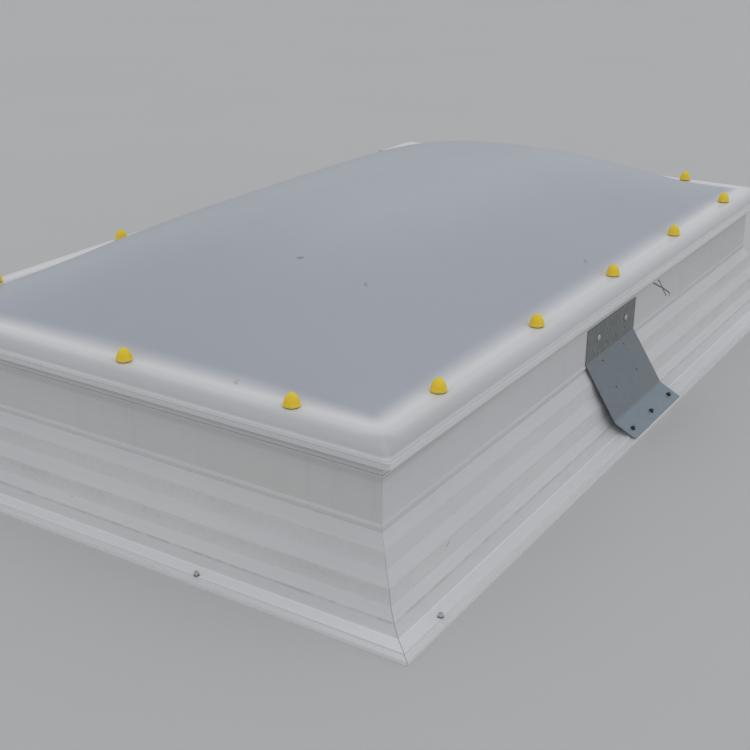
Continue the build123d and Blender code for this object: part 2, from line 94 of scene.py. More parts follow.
# Specks of dirt on the dome: start and end as places along and across, half width and strength.
dome_specks = (
    ((-0.6612, -0.1348), (-0.6572, -0.1392), 0.0068, 0.58),
    ((-0.6655, -0.3130), (-0.6740, -0.3176), 0.0048, 0.32),
    ((-0.0120, -0.5415), (-0.0168, -0.5440), 0.0060, 0.34),
)

# A nick on the dome's rim: places along and across.
rim_nick = ((-1.0502, -0.2652), (-1.0561, -0.2611), (-1.0592, -0.2697))
nick_half_width = 0.0028

# Colours of the white plastic and of what lies on it, and the painted highlight and shade on it.
plastic_dull = (0.682, 0.678, 0.698, 1)
plastic_pale = (0.712, 0.706, 0.718, 1)
# A white for the painted highlights on the flange and the bead.
plastic_painted_highlight = (0.900, 0.905, 0.920, 1)
drawn_grey = (0.530, 0.530, 0.530, 1)
brown_dust = (0.490, 0.470, 0.440, 1)
plastic_grey = (0.500, 0.500, 0.505, 1)
yellow_bloom = (0.650, 0.635, 0.520, 1)
# A grey for painted shade: under the lip, on the flange's step and under the drip band.
soft_shade = (0.350, 0.345, 0.340, 1)
# Dirt and painted shade for the creases.
crease_dirt_and_shade = (0.300, 0.285, 0.255, 1)
splashed_dirt = (0.330, 0.315, 0.270, 1)
plastic_speck = (0.160, 0.145, 0.120, 1)
seam_dark = (0.170, 0.175, 0.170, 1)
pen_ink = (0.045, 0.050, 0.055, 1)
scuff_grey = (0.250, 0.240, 0.220, 1)

# Colours of the opal dome and of what lies on it, and the painted light and shade on it.
# Grey-blue painted shade: the dark shaft seen through the sheet.
opal_shade_dull = (0.436, 0.463, 0.528, 1)
opal_shade_pale = (0.452, 0.478, 0.540, 1)
# A painted highlight for the crown.
opal_painted_highlight = (0.520, 0.540, 0.605, 1)
# Painted shade for the slopes.
opal_painted_shade = (0.400, 0.424, 0.484, 1)
head_dull = (0.744, 0.737, 0.756, 1)
head_pale = (0.764, 0.757, 0.772, 1)
# Painted light: the glow over the head and the highlight on the roll's foot.
head_painted_light = (0.870, 0.865, 0.878, 1)
# Painted shade for the roll and the lip.
roll_painted_shade = (0.485, 0.480, 0.495, 1)
lip_edge_grime_and_shade = (0.200, 0.195, 0.190, 1)
weather_grey = (0.360, 0.360, 0.360, 1)
large_speck = (0.100, 0.095, 0.085, 1)
small_speck = (0.200, 0.190, 0.170, 1)
drawn_speck = (0.120, 0.115, 0.105, 1)
nick_grey = (0.220, 0.220, 0.220, 1)
inner_dull = (0.740, 0.750, 0.770, 1)
inner_pale = (0.800, 0.800, 0.800, 1)

# Colours of the caps and their seats.
cap_deep = (0.940, 0.620, 0.012, 1)
cap_light = (0.960, 0.800, 0.060, 1)
cap_rim = (0.960, 0.840, 0.220, 1)
cap_dirt = (0.300, 0.220, 0.050, 1)
seat_deep = (0.940, 0.700, 0.030, 1)
seat_faded = (0.960, 0.820, 0.100, 1)
seat_bleached = (0.780, 0.770, 0.660, 1)

# Colours of the galvanised bracket; the foot's is a lighter, bluer painted-light copy of the
# panel's steel.
panel_steel = (0.200, 0.232, 0.258, 1)
tab_steel = (0.213, 0.228, 0.229, 1)
foot_steel_painted_light = (0.278, 0.336, 0.390, 1)
spangle_pale = (0.450, 0.480, 0.500, 1)
zinc_bloom = (0.480, 0.500, 0.510, 1)
stain_dark = (0.140, 0.150, 0.155, 1)
streak_pale = (0.460, 0.470, 0.460, 1)
streak_dark = (0.100, 0.110, 0.110, 1)

# Colours of the small parts, the floor and the sky, each from one to another.
zinc_colours = ((0.660, 0.660, 0.640, 1), (0.360, 0.345, 0.320, 1))
dark_steel_colours = ((0.060, 0.068, 0.085, 1), (0.240, 0.250, 0.265, 1))
rubber_colours = ((0.018, 0.018, 0.019, 1), (0.060, 0.060, 0.060, 1))
seal_colours = ((0.620, 0.620, 0.580, 1), (0.740, 0.740, 0.700, 1))
nylon_colours = ((0.660, 0.650, 0.600, 1), (0.760, 0.750, 0.700, 1))
floor_colours = ((0.585, 0.590, 0.588, 1), (0.620, 0.622, 0.618, 1))
sky_colours = ((0.955, 0.985, 1.0, 1), (0.965, 0.982, 1.0, 1))

# Sockets of the Mix node when it mixes colours.
mix_share = 0
mix_first = 6
mix_second = 7
mix_result = 2

no_shift = (0.0, 0.0, 0.0)


# One small bench for node trees: Python arithmetic on a reading adds the Math nodes.

class Reading:
    """An output inside a node tree that can be used in Python expressions."""

    def __init__(self, bench, socket):
        self.bench = bench
        self.socket = socket

    def worked(self, operation, *others):
        return self.bench.sum_up(operation, self, *others)

    def __add__(self, other):
        return self.worked("ADD", other)

    def __radd__(self, other):
        return self.bench.sum_up("ADD", other, self)

    def __sub__(self, other):
        return self.worked("SUBTRACT", other)

    def __rsub__(self, other):
        return self.bench.sum_up("SUBTRACT", other, self)

    def __mul__(self, other):
        return self.worked("MULTIPLY", other)

    def __rmul__(self, other):
        return self.bench.sum_up("MULTIPLY", other, self)

    def __truediv__(self, other):
        return self.worked("DIVIDE", other)

    def __pow__(self, other):
        return self.worked("POWER", other)

    def __abs__(self):
        return self.worked("ABSOLUTE")

    def least(self, other):
        return self.worked("MINIMUM", other)

    def most(self, other):
        return self.worked("MAXIMUM", other)

    def root(self):
        return self.worked("SQRT")


class Bench:
    """Adds nodes to a node tree."""

    def __init__(self, tree):
        self.tree = tree

    def node(self, kind, settings=None, sockets=None, output=0):
        """Adds a node, sets it, fills or links its sockets and gives one of its outputs."""
        node = self.tree.nodes.new(kind)
        for name, value in (settings or {}).items():
            setattr(node, name, value)
        for name, value in (sockets or {}).items():
            if isinstance(value, Reading):
                self.tree.links.new(value.socket, node.inputs[name])
            else:
                node.inputs[name].default_value = value
        return Reading(self, node.outputs[output])

    def sum_up(self, operation, *values):
        return self.node("ShaderNodeMath", {"operation": operation}, dict(enumerate(values)))

    def part(self, vector, axis):
        """The X, Y or Z of a vector."""
        return self.node("ShaderNodeSeparateXYZ", None, {0: vector}, axis)

    def fade(self, value, start, end, first=0.0, last=1.0):
        """0 before start, 1 past end, or another first and last, with a soft change between."""
        return self.node(
            "ShaderNodeMapRange",
            {"interpolation_type": "SMOOTHSTEP"},
            {"Value": value, "From Min": start, "From Max": end, "To Min": first, "To Max": last},
        )

    def mixed(self, share, first, second):
        sockets = {mix_share: share, mix_first: first, mix_second: second}
        return self.node("ShaderNodeMix", {"data_type": "RGBA"}, sockets, mix_result)


class Finish(Bench):
    """A procedural material in the object's own coordinates."""

    def __init__(self, name, **fixed):
        self.material = bpy.data.materials.new(name)
        self.material.use_nodes = True
        super().__init__(self.material.node_tree)
        self.tree.nodes.clear()
        self.shader = self.tree.nodes.new("ShaderNodeBsdfPrincipled")
        end = self.tree.nodes.new("ShaderNodeOutputMaterial")
        self.tree.links.new(self.shader.outputs[0], end.inputs["Surface"])
        for label, value in fixed.items():
            self.shader.inputs[label.replace("_", " ")].default_value = value
        self.spot = self.node("ShaderNodeTexCoord", output="Object")
        self.x, self.y, self.z = (self.part(self.spot, axis) for axis in "XYZ")

    def give(self, label, reading):
        self.tree.links.new(reading.socket, self.shader.inputs[label])

    def bumped(self, height, distance, strength=1.0):
        sockets = {"Height": height, "Distance": distance, "Strength": strength}
        self.give("Normal", self.node("ShaderNodeBump", None, sockets))

    def line(self, value, at, half):
        """1 where a value is at a place, fading to 0 at half a line's width from it."""
        return 1 - self.fade(abs(value - at), 0.0, half)

    def between(self, value, low, high, soft):
        """1 between two places, with soft ends."""
        past_low = self.fade(value, low - soft, low + soft)
        return past_low * (1 - self.fade(value, high - soft, high + soft))

    def placed(self, stretch, shift):
        """The place on the object, stretched by one number or one for each axis, and shifted."""
        stretch = stretch if isinstance(stretch, tuple) else (stretch,) * 3
        sockets = {0: self.spot, 1: stretch, 2: shift}
        return self.node("ShaderNodeVectorMath", {"operation": "MULTIPLY_ADD"}, sockets)

    def noise(self, stretch, detail=2.0, rough=0.5, shift=no_shift):
        """Noise whose grain is a metre divided by stretch."""
        place = self.placed(stretch, shift)
        sockets = {"Vector": place, "Scale": 1.0, "Detail": detail, "Roughness": rough}
        return self.node("ShaderNodeTexNoise", None, sockets)

    def cells(self, stretch, output, shift=no_shift):
        """Random cells a metre divided by stretch apart: Distance from their points or Color."""
        sockets = {"Vector": self.placed(stretch, shift), "Scale": 1.0}
        return self.node("ShaderNodeTexVoronoi", None, sockets, output)

    def cell_number(self, stretch, shift=no_shift):
        """A random number for each cell."""
        return self.node("ShaderNodeSeparateColor", None, {0: self.cells(stretch, "Color", shift)})

    def specks(self, size, spread, share, shift=no_shift):
        """Ragged specks of a size, in cells of a spread; share is how many cells hold one."""
        near = self.cells(1 / spread, "Distance", shift)
        pick = self.cell_number(1 / spread, shift)
        ragged = self.noise(3 / size)
        wide = size / spread
        spot = 1 - self.fade(near + (ragged - 0.5) * wide * 0.9, wide * 0.35, wide * 0.6)
        return spot * self.fade(pick, 1 - share, 1 - share + 0.002)

    def stroke(self, across, up, start, end, half):
        """A pen or scratch stroke between two places on a plane."""
        run, rise = end[0] - start[0], end[1] - start[1]
        along = ((across - start[0]) * run + (up - start[1]) * rise) / (run ** 2 + rise ** 2)
        along = along.most(0.0).least(1.0)
        off_across = across - start[0] - along * run
        off_up = up - start[1] - along * rise
        off = (off_across ** 2 + off_up ** 2).root()
        return 1 - self.fade(off, half * 0.5, half)

    def scribble(self, across, up, places, half):
        """A line of strokes from place to place."""
        drawn = 0.0
        for start, end in zip(places, places[1:]):
            drawn = self.stroke(across, up, start, end, half).most(drawn)
        return drawn


# White plastic

def steep_band_dust(finish, patches, along_x, dustiness):
    """How much dust lies on the skirt's steep bands: more to the far end, grainy on the ends."""
    lower, upper = (
        finish.between(finish.z, low, high, 0.0030)
        * (0.45 + finish.fade(finish.z, low, high) * 0.75)
        for low, high in steep_bands
    )
    blotches = finish.fade(patches, 0.40, 0.72)
    if along_x:
        toward_far_end = finish.fade(finish.x, -0.2, 1.0)
        bands = (lower * 1.5 + upper) * (0.23 + blotches * 0.50)
        return bands * (toward_far_end * 0.60 + dustiness)
    grain = finish.fade(finish.noise((75.0, 75.0, 120.0), 4.0, 0.7, (6.0, 2.0, 9.0)), 0.40, 0.66)
    bands = (lower * 1.4 + upper * 0.95) * (0.34 + blotches * 0.24)
    return bands * (0.72 + grain * 0.62) * dustiness


def greyed_wall_and_lip_shade(finish, colour, patches, along_x):
    """Grey on the wall, with runs, and on the long sides greyer toward the far end; yellow bloom
    and painted shade under the lip on the ends.
    """
    streaks = (30.0, 2.0, 2.2) if along_x else (2.0, 30.0, 2.2)
    runs = finish.fade(finish.noise(streaks, 3.0, 0.65, (5.0, 5.0, 5.0)), 0.50, 0.78)
    on_wall = finish.between(finish.z, bead_top - 0.01, lip_bottom, 0.006)
    if along_x:
        far_half = finish.fade(finish.x, 0.0, 1.1)
        colour = finish.mixed(far_half * 0.12, colour, plastic_grey)
        greying = finish.fade(finish.x, -0.5, 1.2) * 0.26 + 0.06
    else:
        on_band = finish.fade(finish.z, band_bottom + 0.001, band_bottom + 0.004)
        greying = 0.24 - on_band * 0.22
        bloom = finish.between(finish.y, -0.56, -0.16, 0.14)
        bloom = bloom * finish.between(finish.z, groove_level, 0.225, 0.030)
        colour = finish.mixed(bloom * (0.13 + patches * 0.12), colour, yellow_bloom)
        # Painted shade on the wall's top, under the lip's overhang.
        under_lip_shade = finish.fade(finish.z, lip_bottom - 0.0265, lip_bottom - 0.0230)
        colour = finish.mixed(under_lip_shade * 0.26, colour, soft_shade)
    return finish.mixed(on_wall * (greying + runs * 0.14), colour, plastic_grey)


def painted_flange_highlights(finish, colour, along_x):
    """Painted highlights on the flange's strip and land and on the bead above the groove."""
    bead = finish.between(finish.z, groove_level + 0.004, bead_top, 0.0018)
    on_strip = 1 - finish.fade(finish.z, *strip_end)
    on_land = finish.fade(finish.z, *step_end) * (1 - finish.fade(finish.z, *land_end))
    highlight_share = on_strip * 0.50 + on_land * (0.75 if along_x else 0.90)
    bead_share = 0.06 if along_x else 0.22
    return finish.mixed(bead * bead_share + highlight_share, colour, plastic_painted_highlight)


def step_and_band_shade(finish, colour, patches, along_x):
    """Painted shade on the flange's step and under the drip band; on the long sides it fades out
    past the near end, and a darker line runs just under the band.
    """
    on_step = finish.fade(finish.z, *strip_end) * (1 - finish.fade(finish.z, *step_end))
    shade = finish.between(finish.z, band_bottom - 0.014, band_bottom, 0.005)
    if along_x:
        shade = shade * (1 - finish.fade(finish.x, -1.0, -0.5))
        shade = shade + finish.line(finish.z, band_bottom - 0.0035, 0.0040) * 1.9
    shade = shade * (0.14 + patches * 0.10) + on_step * 0.12
    return finish.mixed(shade, colour, soft_shade)


def shade_and_dirt_in_creases(finish, colour, along_x):
    """Dirt and painted shade in the creases, in the groove above the skirt and where the skirt
    meets the flange.
    """
    crease = finish.line(finish.z, skirt_foot, 0.0022) * (0.6 if along_x else 0.8)
    for level in crease_levels:
        crease = crease + finish.line(finish.z, level, 0.0018) * (0.34 if along_x else 0.22)
    crease = crease + finish.line(finish.z, groove_level, 0.0030) * 0.08
    broken = finish.fade(finish.noise(26.0, 3.0, 0.7, (1.0, 8.0, 2.0)), 0.34, 0.62)
    return finish.mixed(crease.least(1.0) * (0.25 + broken * 0.75) * 0.52, colour, crease_dirt_and_shade)


def pen_and_scuff(finish, colour):
    """The pen strokes and the scuff, which only the front has."""
    on_front = 1 - finish.fade(finish.y, -0.62, -0.60)
    pen = finish.scribble(finish.x, finish.z, long_pen_stroke, pen_half_width)
    pen = pen.most(finish.scribble(finish.x, finish.z, short_pen_stroke, pen_half_width))
    colour = finish.mixed(pen * on_front * 0.95, colour, pen_ink)
    scuff = finish.scribble(finish.x, finish.z, skirt_scuff, scuff_half_width)
    return finish.mixed(scuff * on_front * 0.55, colour, scuff_grey)


def white_plastic(name, along_x, dustiness):
    """White extruded plastic, weathered, with painted highlights and shade, for the sides that run
    along X or along Y.
    """
    finish = Finish(name, IOR=1.53)
    slow, quick = 0.7, 170.0
    drawn = finish.noise((slow, quick, quick) if along_x else (quick, slow, quick), 3.0, 0.6)
    broad = finish.noise(2.1, 3.0, 0.55)
    patches = finish.noise((9.0, 9.0, 14.0), 4.0, 0.6, (3.0, 1.0, 7.0))

    colour = finish.mixed(finish.fade(broad, 0.35, 0.7), plastic_dull, plastic_pale)
    colour = finish.mixed(finish.fade(drawn, 0.35, 0.75) * 0.14, colour, drawn_grey)
    dust = steep_band_dust(finish, patches, along_x, dustiness)
    colour = finish.mixed(dust * 0.50, colour, brown_dust)
    colour = greyed_wall_and_lip_shade(finish, colour, patches, along_x)
    # Painted highlights on the flange and the bead.
    colour = painted_flange_highlights(finish, colour, along_x)
    # Painted shade on the flange's step and under the drip band.
    colour = step_and_band_shade(finish, colour, patches, along_x)
    # Dirt and painted shade in the creases.
    colour = shade_and_dirt_in_creases(finish, colour, along_x)

    # Rain splashes dirt on the lower skirt, and specks lie up to the drip band.
    splashed = 1 - finish.fade(finish.z, 0.010, 0.075)
    grime = splashed * finish.fade(finish.noise(34.0, 5.0, 0.7), 0.52, 0.74)
    colour = finish.mixed(grime * 0.07, colour, splashed_dirt)
    spots = finish.specks(0.0030, 0.055, 0.16) * (1 - finish.fade(finish.z, 0.03, 0.26))
    colour = finish.mixed(spots * 0.75, colour, plastic_speck)

    # The mitred corners show as one thin dark line.
    apart = abs((half_length - abs(finish.x)) - (half_width - abs(finish.y)))
    seam = 1 - finish.fade(apart, 0.0005, 0.0014)
    on_skirt = 1 - finish.fade(finish.z, 0.02, 0.16)
    colour = finish.mixed(seam * (0.16 + on_skirt * 0.46), colour, seam_dark)
    if along_x:
        colour = pen_and_scuff(finish, colour)

    finish.give("Base Color", colour)
    finish.give("Roughness", 0.34 + drawn * 0.12 + dust * 0.22 + grime * 0.2)
    finish.bumped(drawn * 0.35 + patches * 0.25 - seam * 1.4, 0.0005, 0.55)
    return finish.material


# Opal sheet

def dome_colour(finish, broad, outside):
    """White over the head with a painted glow in its middle, grey-blue painted shade where the
    dark shaft lies below, a painted highlight on the crown and painted shade on the slopes.
    """
    mottled = finish.fade(broad, 0.3, 0.7)
    # Grey-blue painted shade for where the dark shaft lies below.
    opal = finish.mixed(mottled, opal_shade_dull, opal_shade_pale)
    white = finish.mixed(mottled, head_dull, head_pale)
    over_head = finish.fade(outside, -0.020, 0.037)
    # A painted glow over the middle of the head, stronger toward the near end.
    painted_glow = over_head * (1 - finish.fade(outside, 0.035, 0.056))
    white = finish.mixed(painted_glow * (0.50 - finish.x * 0.12), white, head_painted_light)
    colour = finish.mixed(over_head, opal, white)
    # A painted highlight on the dome's crown.
    painted_crown_light = finish.fade(finish.z, 0.45, 0.51)
    colour = finish.mixed(painted_crown_light * 0.22, colour, opal_painted_highlight)
    # Painted shade on the slopes: front and back past the near end, and toward the far end.
    front_slope = 1 - finish.fade(finish.y, -0.56, -0.22)
    back_slope = finish.fade(finish.y, -0.22, 0.12)
    past_near_end = finish.fade(finish.x, -0.95, -0.40)
    far_slope = finish.fade(finish.x, 0.05, 0.65)
    shaded_slopes = (front_slope * 0.30 + back_slope * 0.50) * past_near_end + far_slope * 0.28
    return finish.mixed((1 - over_head) * shaded_slopes, colour, opal_painted_shade)


def rim_colour(finish, colour, outside, on_end):
    """Painted shade on the roll, stronger at the near end of the long sides, a painted highlight
    on its foot, painted shade on the lip's corner, ledge and face, and the lip edge's grime and
    shade.
    """
    # Painted shade on the roll.
    rolled_shade = finish.fade(outside, 0.055, 0.080)
    rolled_shade = rolled_shade * finish.fade(finish.z, lip_top + 0.002, lip_top + 0.011)
    near_left = (1 - on_end) * (1 - finish.fade(finish.x, -1.0, -0.4))
    colour = finish.mixed(rolled_shade * (0.56 + near_left * 0.16), colour, roll_painted_shade)

    # A painted highlight on the roll's foot, just above the ledge.
    foot = finish.fade(finish.z, lip_top + 0.0003, lip_top + 0.0009)
    foot = foot * (1 - finish.fade(finish.z, lip_top + 0.003, lip_top + 0.009))
    # Painted shade on the lip's rounded corner, its ledge and its face.
    corner = finish.fade(finish.z, lip_top - 0.0026, lip_top - 0.0018)
    corner = corner * (1 - finish.fade(finish.z, lip_top - 0.0005, lip_top - 0.0001))
    ledge = 1 - finish.fade(abs(finish.z - lip_top), 0.0002, 0.0006)
    face = 1 - finish.fade(finish.z, lip_top - 0.0012, lip_top - 0.0004)
    # Grime and painted shade on the lip's bottom edge.
    edge = 1 - finish.fade(finish.z, lip_bottom + 0.0004, lip_bottom + 0.0018)
    colour = finish.mixed(foot * (0.06 + on_end * 0.46), colour, head_painted_light)
    colour = finish.mixed(corner * (0.30 + on_end * 0.36) + ledge * 0.20, colour, roll_painted_shade)
    colour = finish.mixed(face * on_end * 0.30, colour, roll_painted_shade)
    return finish.mixed(edge * 0.50, colour, lip_edge_grime_and_shade)


def dome_dirt(finish, colour):
    """Scattered specks, the larger ones that are listed, and the nick on the rim."""
    spots = finish.specks(0.0050, 0.26, 0.34, (0.3, 0.7, 0.2))
    colour = finish.mixed(spots * 0.7, colour, large_speck)
    tiny = finish.specks(0.0022, 0.09, 0.28, (0.1, 0.4, 0.9))
    colour = finish.mixed(tiny * 0.45, colour, small_speck)
    for start, end, half, strength in dome_specks:
        speck = finish.stroke(finish.x, finish.y, start, end, half)
        colour = finish.mixed(speck * strength, colour, drawn_speck)
    nick = finish.scribble(finish.x, finish.y, rim_nick, nick_half_width)
    return finish.mixed(nick * 0.36, colour, nick_grey)


def opal_sheet():
    """Opal thermoformed sheet of the outer skin, with painted light and shade."""
    finish = Finish("opal_sheet", IOR=1.49)
    over_x = (abs(finish.x) - (half_length - shaft_in - shaft_corner)).most(0.0)
    over_y = (abs(finish.y) - (half_width + 0.004 - shaft_in - shaft_corner)).most(0.0)
    outside = (over_x ** 4 + over_y ** 4) ** 0.25 - shaft_corner
    on_end = finish.fade(over_x - over_y, -0.002, 0.002)
    broad = finish.noise(1.6, 2.0, 0.5)
    fine = finish.noise(11.0, 4.0, 0.6)
    weathered = finish.fade(fine, 0.45, 0.75)

    colour = dome_colour(finish, broad, outside)
    colour = rim_colour(finish, colour, outside, on_end)
    colour = finish.mixed(weathered * 0.025, colour, weather_grey)
    finish.give("Base Color", dome_dirt(finish, colour))
    finish.give("Roughness", 0.33 + weathered * 0.03 + broad * 0.02)
    finish.bumped(finish.noise(3.0, 0.0, 0.4) + fine * 0.02, 0.003, 0.08)
    return finish.material


def opal_inner_sheet():
    """The clean opal sheet of the two skins inside."""
    finish = Finish("opal_inner_sheet", IOR=1.49, Roughness=0.3)
    broad = finish.noise(2.0, 2.0, 0.5)
    finish.give("Base Color", finish.mixed(broad, inner_dull, inner_pale))
    finish.bumped(broad, 0.003, 0.2)
    return finish.material


# Caps, seats, steel and rubber

def moulded_grain(finish):
    """The fine grain of a moulded surface."""
    finish.bumped(finish.noise(900.0, 1.0, 0.5), 0.0002, 0.4)


def cap_plastic():
    """Yellow moulded plastic, lighter toward the top and pale at its rim."""
    finish = Finish("cap_plastic", IOR=1.5)
    toward_top = finish.fade(finish.z, cap_level + 0.004, cap_level + cap_height)
    patch = finish.noise(60.0, 3.0, 0.6)
    colour = finish.mixed(toward_top * 0.45 + patch * 0.25, cap_deep, cap_light)
    rim = 1 - finish.fade(finish.z, cap_level + 0.0012, cap_level + 0.0034)
    colour = finish.mixed(rim * 0.55, colour, cap_rim)
    dirt = finish.specks(0.0016, 0.010, 0.3)
    finish.give("Base Color", finish.mixed(dirt * 0.35, colour, cap_dirt))
    finish.give("Roughness", 0.38 + patch * 0.18)
    moulded_grain(finish)
    return finish.material


def seat_plastic():
    """The caps' seats: yellow, and bleached on the screws that have lost their caps."""
    finish = Finish("seat_plastic", IOR=1.5)
    patch = finish.noise(60.0, 3.0, 0.6)
    bare = finish.fade(finish.y, 0.55, 0.57) * finish.fade(finish.x, -0.22, -0.20)
    colour = finish.mixed(patch * 0.4, seat_deep, seat_faded)
    finish.give("Base Color", finish.mixed(bare * 0.9, colour, seat_bleached))
    finish.give("Roughness", 0.42 + patch * 0.18)
    moulded_grain(finish)
    return finish.material


def galvanised_sheet():
    """Dull galvanised steel with a faint spangle and a pale bloom, streaked on its tab, with
    painted light on its foot.
    """
    finish = Finish("galvanised_sheet", Metallic=0.55)
    spangle = finish.cell_number(95.0)
    cloud = finish.noise(14.0, 5.0, 0.65)
    brushed = finish.noise((4.0, 240.0, 240.0), 2.0, 0.6)
    tab = finish.fade(finish.z, upper_fold - 0.010, upper_fold + 0.008)
    foot = 1 - finish.fade(finish.z, lower_fold - 0.003, lower_fold + 0.006)
    colour = finish.mixed(tab, panel_steel, tab_steel)
    # Painted light on the foot: a lighter, bluer steel.
    colour = finish.mixed(foot, colour, foot_steel_painted_light)
    colour = finish.mixed(spangle * 0.14, colour, spangle_pale)
    bloom = finish.fade(cloud, 0.50, 0.80)
    colour = finish.mixed(bloom * 0.16, colour, zinc_bloom)
    stains = finish.fade(finish.noise((60.0, 60.0, 12.0), 4.0, 0.7, (2.0, 4.0, 1.0)), 0.54, 0.76)
    colour = finish.mixed(stains * (0.30 + tab * 0.20), colour, stain_dark)
    streaks = finish.noise((230.0, 230.0, 62.0), 3.0, 0.75, (4.0, 4.0, 4.0))
    pale_streaks = finish.fade(streaks, 0.50, 0.66)
    dark_streaks = 1 - finish.fade(streaks, 0.34, 0.50)
    colour = finish.mixed(pale_streaks * tab * 0.30, colour, streak_pale)
    colour = finish.mixed(dark_streaks * tab * 0.45, colour, streak_dark)
    finish.give("Base Color", colour)
    finish.give("Roughness", 0.46 + spangle * 0.12 + bloom * 0.2)
    finish.bumped(spangle * 0.5 + brushed * 0.3 + cloud * 0.4, 0.0004, 0.35)
    return finish.material


def zinc_steel():
    """Zinc plated screws, a little dulled."""
    finish = Finish("zinc_steel", Metallic=0.85)
    cloud = finish.noise(160.0, 4.0, 0.65)
    dull = finish.fade(cloud, 0.5, 0.8)
    finish.give("Base Color", finish.mixed(dull, *zinc_colours))
    finish.give("Roughness", 0.30 + dull * 0.3)
    finish.bumped(cloud, 0.0002, 0.4)
    return finish.material


def dark_steel():
    """Dark coated screws of the bracket's foot."""
    finish = Finish("dark_steel", Metallic=0.6)
    cloud = finish.noise(170.0, 3.0, 0.6)
    worn = finish.fade(cloud, 0.55, 0.75)
    finish.give("Base Color", finish.mixed(worn, *dark_steel_colours))
    finish.give("Roughness", 0.36 + cloud * 0.15)
    finish.bumped(cloud, 0.0002, 0.4)
    return finish.material


def seal_rubber():
    """Matt black rubber with a grey bloom."""
    finish = Finish("seal_rubber")
    cloud = finish.noise(90.0, 4.0, 0.6)
    finish.give("Base Color", finish.mixed(cloud, *rubber_colours))
    finish.give("Roughness", 0.70 + cloud * 0.2)
    finish.bumped(cloud, 0.0003, 0.5)
    return finish.material


def pale_strip(name, colours):
    """A plain pale plastic or sealing strip that no one sees from outside."""
    finish = Finish(name)
    cloud = finish.noise(50.0, 3.0, 0.6)
    finish.give("Base Color", finish.mixed(cloud, *colours))
    finish.give("Roughness", 0.45 + cloud * 0.2)
    finish.bumped(cloud, 0.0003, 0.3)
    return finish.material


plastic_along_x = white_plastic("white_plastic_along_length", True, 0.30)
plastic_along_y = white_plastic("white_plastic_along_width", False, 1.0)
opal = opal_sheet()
opal_inner = opal_inner_sheet()
yellow = cap_plastic()
seat_yellow = seat_plastic()
galvanised = galvanised_sheet()
zinc = zinc_steel()
dark_screws = dark_steel()
rubber = seal_rubber()
strip = pale_strip("clear_seal", seal_colours)
nylon = pale_strip("sleeve_nylon", nylon_colours)

finishes = {
    "upstand_front": plastic_along_x,
    "upstand_back": plastic_along_x,
    "upstand_left": plastic_along_y,
    "upstand_right": plastic_along_y,
    "outer_skin": opal,
    "middle_skin": opal_inner,
    "inner_skin": opal_inner,
    "upper_skin_seal": strip,
    "lower_skin_seal": strip,
    "head_gasket": rubber,
    "screw_sleeves": nylon,
    "cap_washers": rubber,
    "cap_seats": seat_yellow,
    "dome_screws": zinc,
    "screw_caps": yellow,
    "flange_washers": rubber,
    "flange_screws": zinc,
    "bracket": galvanised,
    "bracket_wall_screws": zinc,
    "bracket_foot_washers": rubber,
    "bracket_foot_screws": dark_screws,
}
for name, finish in finishes.items():
    node = nodes[name]
    node.data.materials.clear()
    node.data.materials.append(finish)


# Caps: one turned shape, set on every capped dome screw by Geometry Nodes.

class Pattern(Bench):
    """A Geometry Nodes tree with named inputs."""

    def __init__(self, name, sizes):
        super().__init__(bpy.data.node_groups.new(name, "GeometryNodeTree"))
        plan = self.tree.interface
        plan.new_socket("Geometry", in_out="OUTPUT", socket_type="NodeSocketGeometry")
        self.sizes = sizes
        self.labels = {}
        for label, value in sizes.items():
            kind = "NodeSocketInt" if isinstance(value, int) else "NodeSocketFloat"
            socket = plan.new_socket(label, in_out="INPUT", socket_type=kind)
            self.labels[label] = socket.identifier
        self.entry = self.tree.nodes.new("NodeGroupInput")

    def size(self, label):
        return Reading(self, self.entry.outputs[label])

    def vector(self, **numbers):
        return self.node("ShaderNodeCombineXYZ", None, numbers)

    def made(self, name, geometry, material):
        """Ends the tree, runs it on an empty mesh and gives the plain mesh as a piece."""
        real = self.node("GeometryNodeRealizeInstances", None, {0: geometry})
        painted = self.node("GeometryNodeSetMaterial", None, {0: real, "Material": material})
        end = self.tree.nodes.new("NodeGroupOutput")
        self.tree.links.new(painted.socket, end.inputs[0])
        carrier = bpy.data.objects.new(name + "_pattern", bpy.data.meshes.new(name + "_pattern"))
        bpy.context.collection.objects.link(carrier)
        modifier = carrier.modifiers.new("pattern", "NODES")
        modifier.node_group = self.tree
        for label, value in self.sizes.items():
            modifier[self.labels[label]] = value
        graph = bpy.context.evaluated_depsgraph_get()
        mesh = bpy.data.meshes.new_from_object(carrier.evaluated_get(graph), depsgraph=graph)
        mesh.name = name
        bpy.data.objects.remove(carrier)
        piece = bpy.data.objects.new(name, mesh)
        bpy.context.collection.objects.link(piece)
        return piece


# The cap's outline from the middle of its base up to its tip, in shares of its radius and height.
cap_outline = (
    (0.000, 0.000),
    (0.955, 0.000),
    (1.000, 0.020),
    (1.000, 0.088),
    (0.985, 0.102),
    (0.948, 0.108),
    (0.940, 0.160),
    (0.915, 0.250),
    (0.882, 0.340),
    (0.840, 0.430),
    (0.788, 0.520),
    (0.724, 0.610),
    (0.648, 0.700),
    (0.562, 0.780),
    (0.455, 0.855),
    (0.335, 0.920),
    (0.200, 0.970),
    (0.090, 0.993),
    (0.000, 1.000),
)


